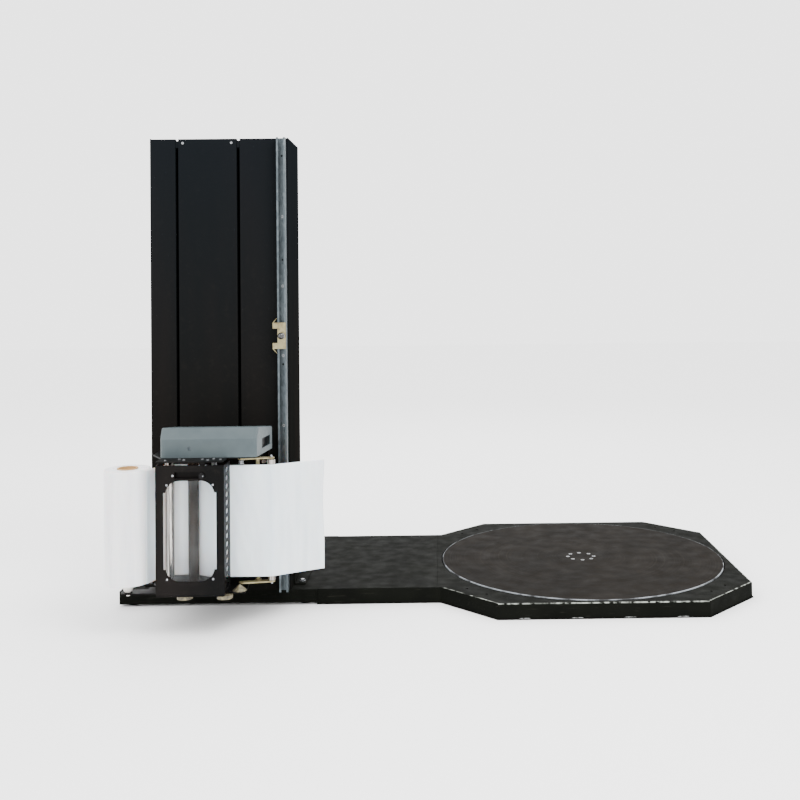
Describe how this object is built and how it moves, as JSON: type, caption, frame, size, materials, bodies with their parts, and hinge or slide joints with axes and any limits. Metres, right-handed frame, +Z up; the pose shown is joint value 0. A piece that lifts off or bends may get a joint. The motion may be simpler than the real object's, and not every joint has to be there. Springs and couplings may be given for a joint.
{
  "type": "turntable pallet wrapper",
  "caption": "Low octagonal turntable with a slotted mast and a lifting film carriage that wraps palletised loads in stretch film.",
  "frame": {"origin": "on the floor, on the turntable's vertical axis", "axes": "+X along the machine, away from the mast; +Y away from the film carriage's gate; +Z up"},
  "size_m": [3.119, 1.81, 2.295],
  "materials": {
    "base_paint": "dark satin enamel, scuffed on top",
    "mast_paint": "near-black satin powder coat",
    "box_paint": "light grey powder coat",
    "motor_paint": "grey-blue cast motor paint",
    "galvanised_steel": "galvanised",
    "bright_steel": "machined",
    "chain_steel": "oiled",
    "yellow_zinc": "yellow zinc plate",
    "chrome": "polished",
    "cover_plastic": "moulded grey",
    "black_plastic": "moulded black",
    "black_rubber": "ground rubber",
    "nylon": "natural nylon",
    "stretch_film": "white stretch film",
    "cardboard": "wound paper tube",
    "clear_plastic": "clear polycarbonate",
    "green_plastic": "moulded green",
    "red_plastic": "moulded red"
  },
  "bodies": {
    "base": {"base_pan": "base_paint", "turntable_surround": "base_paint", "bridge_deck": "base_paint", "mast_base": "base_paint", "centre_bearing": "bright_steel", "wheel_brackets": "bright_steel", "table_gearmotor": "motor_paint", "table_drive_chain": "chain_steel", "drive_cover": "mast_paint", "mast_left_shell": "mast_paint", "mast_front_panel": "mast_paint", "mast_right_shell": "mast_paint", "mast_back_panel": "mast_paint", "mast_top_cap": "mast_paint", "mast_foot_brackets": "base_paint", "mast_foot_bolts": "bright_steel", "guide_rails": "bright_steel", "strut_rail": "galvanised_steel", "lift_gearmotor": "motor_paint", "lift_chain": "chain_steel", "control_box": "box_paint"},
    "turntable": {"turntable_disc": "base_paint", "turntable_hub": "bright_steel"},
    "table_drive": {"table_drive_sprocket": "bright_steel"},
    "carriage": {"carriage_trolley": "base_paint", "carriage_frame": "base_paint", "carriage_cover": "cover_plastic", "load_sensor": "black_plastic", "prestretch_motor": "motor_paint", "prestretch_belt": "black_rubber", "carriage_bumpers": "yellow_zinc", "film_web": "stretch_film", "limit_switch": "black_plastic"},
    "lower_wheels": {"lower_guide_wheels": "nylon"},
    "upper_wheels": {"upper_guide_wheels": "nylon"},
    "lower_sprocket": {"lift_sprocket_lower": "bright_steel"},
    "upper_sprocket": {"lift_sprocket_upper": "bright_steel"},
    "gate": {"gate_frame": "mast_paint", "gate_window": "clear_plastic"},
    "latch": {"gate_latch": "black_plastic"},
    "chrome_prestretch": {"chrome_roller": "chrome"},
    "rubber_prestretch": {"rubber_roller": "black_rubber"},
    "idler": {"idler_roller": "bright_steel"},
    "dancer": {"dancer_frame": "yellow_zinc", "film_tail": "stretch_film"},
    "exit": {"exit_roller": "chrome"},
    "film_supply": {"film_roll": "stretch_film", "roll_core": "cardboard", "roll_spindle": "nylon"},
    "height_stop": {"height_stop_cam": "yellow_zinc"},
    "stop_knob": {"cam_knob": "black_plastic"},
    "lever": {"switch_lever": "bright_steel"},
    "start": {"start_button": "green_plastic"},
    "stop": {"stop_button": "red_plastic"},
    "emergency": {"emergency_stop": "red_plastic"},
    "isolator": {"main_switch": "black_plastic"},
    "wheel_1": {"support_wheel_1": "nylon"},
    "wheel_2": {"support_wheel_2": "nylon"},
    "wheel_3": {"support_wheel_3": "nylon"},
    "wheel_4": {"support_wheel_4": "nylon"}
  },
  "joints": [
    {"name": "turntable_spin", "type": "hinge", "parent": "base", "child": "turntable", "pos_m": [0, 0, 0.07], "axis": [0, 0, 1], "continuous": true},
    {"name": "wheel_1_spin", "type": "hinge", "parent": "base", "child": "wheel_1", "pos_m": [0.43841, 0.43841, 0.0455], "axis": [0.7071, 0.7071, 0], "continuous": true},
    {"name": "wheel_2_spin", "type": "hinge", "parent": "base", "child": "wheel_2", "pos_m": [-0.43841, 0.43841, 0.0455], "axis": [-0.7071, 0.7071, 0], "continuous": true},
    {"name": "wheel_3_spin", "type": "hinge", "parent": "base", "child": "wheel_3", "pos_m": [-0.43841, -0.43841, 0.0455], "axis": [-0.7071, -0.7071, 0], "continuous": true},
    {"name": "wheel_4_spin", "type": "hinge", "parent": "base", "child": "wheel_4", "pos_m": [0.43841, -0.43841, 0.0455], "axis": [0.7071, -0.7071, 0], "continuous": true},
    {"name": "table_drive_spin", "type": "hinge", "parent": "base", "child": "table_drive", "pos_m": [-1.78, 0, 0.058], "axis": [0, 0, 1], "continuous": true},
    {"name": "carriage_lift", "type": "slide", "parent": "base", "child": "carriage", "axis": [0, 0, 1], "range_m": [-0.08, 1.28]},
    {"name": "lower_wheels_spin", "type": "hinge", "parent": "carriage", "child": "lower_wheels", "pos_m": [-1.833, -0.44, 0.296], "axis": [1, 0, 0], "continuous": true},
    {"name": "upper_wheels_spin", "type": "hinge", "parent": "carriage", "child": "upper_wheels", "pos_m": [-1.833, -0.44, 0.696], "axis": [1, 0, 0], "continuous": true},
    {"name": "lower_sprocket_spin", "type": "hinge", "parent": "base", "child": "lower_sprocket", "pos_m": [-1.833, -0.38, 0.17], "axis": [1, 0, 0], "continuous": true},
    {"name": "upper_sprocket_spin", "type": "hinge", "parent": "base", "child": "upper_sprocket", "pos_m": [-1.833, -0.38, 2.19], "axis": [1, 0, 0], "continuous": true},
    {"name": "rubber_spin", "type": "hinge", "parent": "carriage", "child": "rubber_prestretch", "pos_m": [-1.888, -0.85, 0.49], "axis": [0, 0, 1], "continuous": true},
    {"name": "chrome_spin", "type": "hinge", "parent": "carriage", "child": "chrome_prestretch", "pos_m": [-1.996, -0.85, 0.49], "axis": [0, 0, 1], "continuous": true},
    {"name": "idler_spin", "type": "hinge", "parent": "carriage", "child": "idler", "pos_m": [-1.79, -0.86, 0.49], "axis": [0, 0, 1], "continuous": true},
    {"name": "dancer_swing", "type": "hinge", "parent": "carriage", "child": "dancer", "pos_m": [-1.664, -0.8726, 0.49], "axis": [0, 0, 1], "range_deg": [0, 35], "stiffness_Nm_per_rad": 5, "springref_deg": -17.19},
    {"name": "exit_spin", "type": "hinge", "parent": "dancer", "child": "exit", "pos_m": [-1.532, -0.85, 0.49], "axis": [0, 0, 1], "continuous": true},
    {"name": "roll_spin", "type": "hinge", "parent": "carriage", "child": "film_supply", "pos_m": [-2.166, -0.922, 0.49], "axis": [0, 0, 1], "continuous": true},
    {"name": "gate_swing", "type": "hinge", "parent": "carriage", "child": "gate", "pos_m": [-2.01, -0.985, 0.49], "axis": [0, 0, -1], "range_deg": [0, 110]},
    {"name": "latch_turn", "type": "hinge", "parent": "gate", "child": "latch", "pos_m": [-1.814, -1, 0.727], "axis": [0, -1, 0], "range_deg": [0, 90]},
    {"name": "height_stop_slide", "type": "slide", "parent": "base", "child": "height_stop", "axis": [0, 0, 1], "range_m": [-0.95, 0.85]},
    {"name": "stop_knob_turn", "type": "hinge", "parent": "height_stop", "child": "stop_knob", "pos_m": [-1.5235, -0.585, 1.321], "axis": [0, -1, 0], "range_deg": [0, 360]},
    {"name": "lever_swing", "type": "hinge", "parent": "carriage", "child": "lever", "pos_m": [-1.607, -0.616, 0.72], "axis": [0, 1, 0], "range_deg": [-25, 25], "stiffness_Nm_per_rad": 0.3},
    {"name": "start_press", "type": "slide", "parent": "base", "child": "start", "axis": [0, -1, 0], "range_m": [0, 0.004], "stiffness_N_per_m": 600, "springref_m": -0.002},
    {"name": "stop_press", "type": "slide", "parent": "base", "child": "stop", "axis": [0, -1, 0], "range_m": [0, 0.004], "stiffness_N_per_m": 600, "springref_m": -0.002},
    {"name": "emergency_press", "type": "slide", "parent": "base", "child": "emergency", "axis": [0, -1, 0], "range_m": [0, 0.006], "stiffness_N_per_m": 1200, "springref_m": -0.002},
    {"name": "isolator_turn", "type": "hinge", "parent": "base", "child": "isolator", "pos_m": [-1.725, 0.015, 1.51], "axis": [0, 1, 0], "range_deg": [0, 90]}
  ],
  "couplings": [
    {"joint": "wheel_1_spin", "follows": "turntable_spin", "ratio": -25.833},
    {"joint": "wheel_2_spin", "follows": "turntable_spin", "ratio": -25.833},
    {"joint": "wheel_3_spin", "follows": "turntable_spin", "ratio": -25.833},
    {"joint": "wheel_4_spin", "follows": "turntable_spin", "ratio": -25.833},
    {"joint": "table_drive_spin", "follows": "turntable_spin", "ratio": 4.5455},
    {"joint": "lower_wheels_spin", "follows": "carriage_lift", "rad_per_m": -40},
    {"joint": "upper_wheels_spin", "follows": "carriage_lift", "rad_per_m": 40},
    {"joint": "lower_sprocket_spin", "follows": "carriage_lift", "rad_per_m": -27.4},
    {"joint": "upper_sprocket_spin", "follows": "carriage_lift", "rad_per_m": -27.4},
    {"joint": "chrome_spin", "follows": "rubber_spin", "ratio": 0.54546}
  ]
}
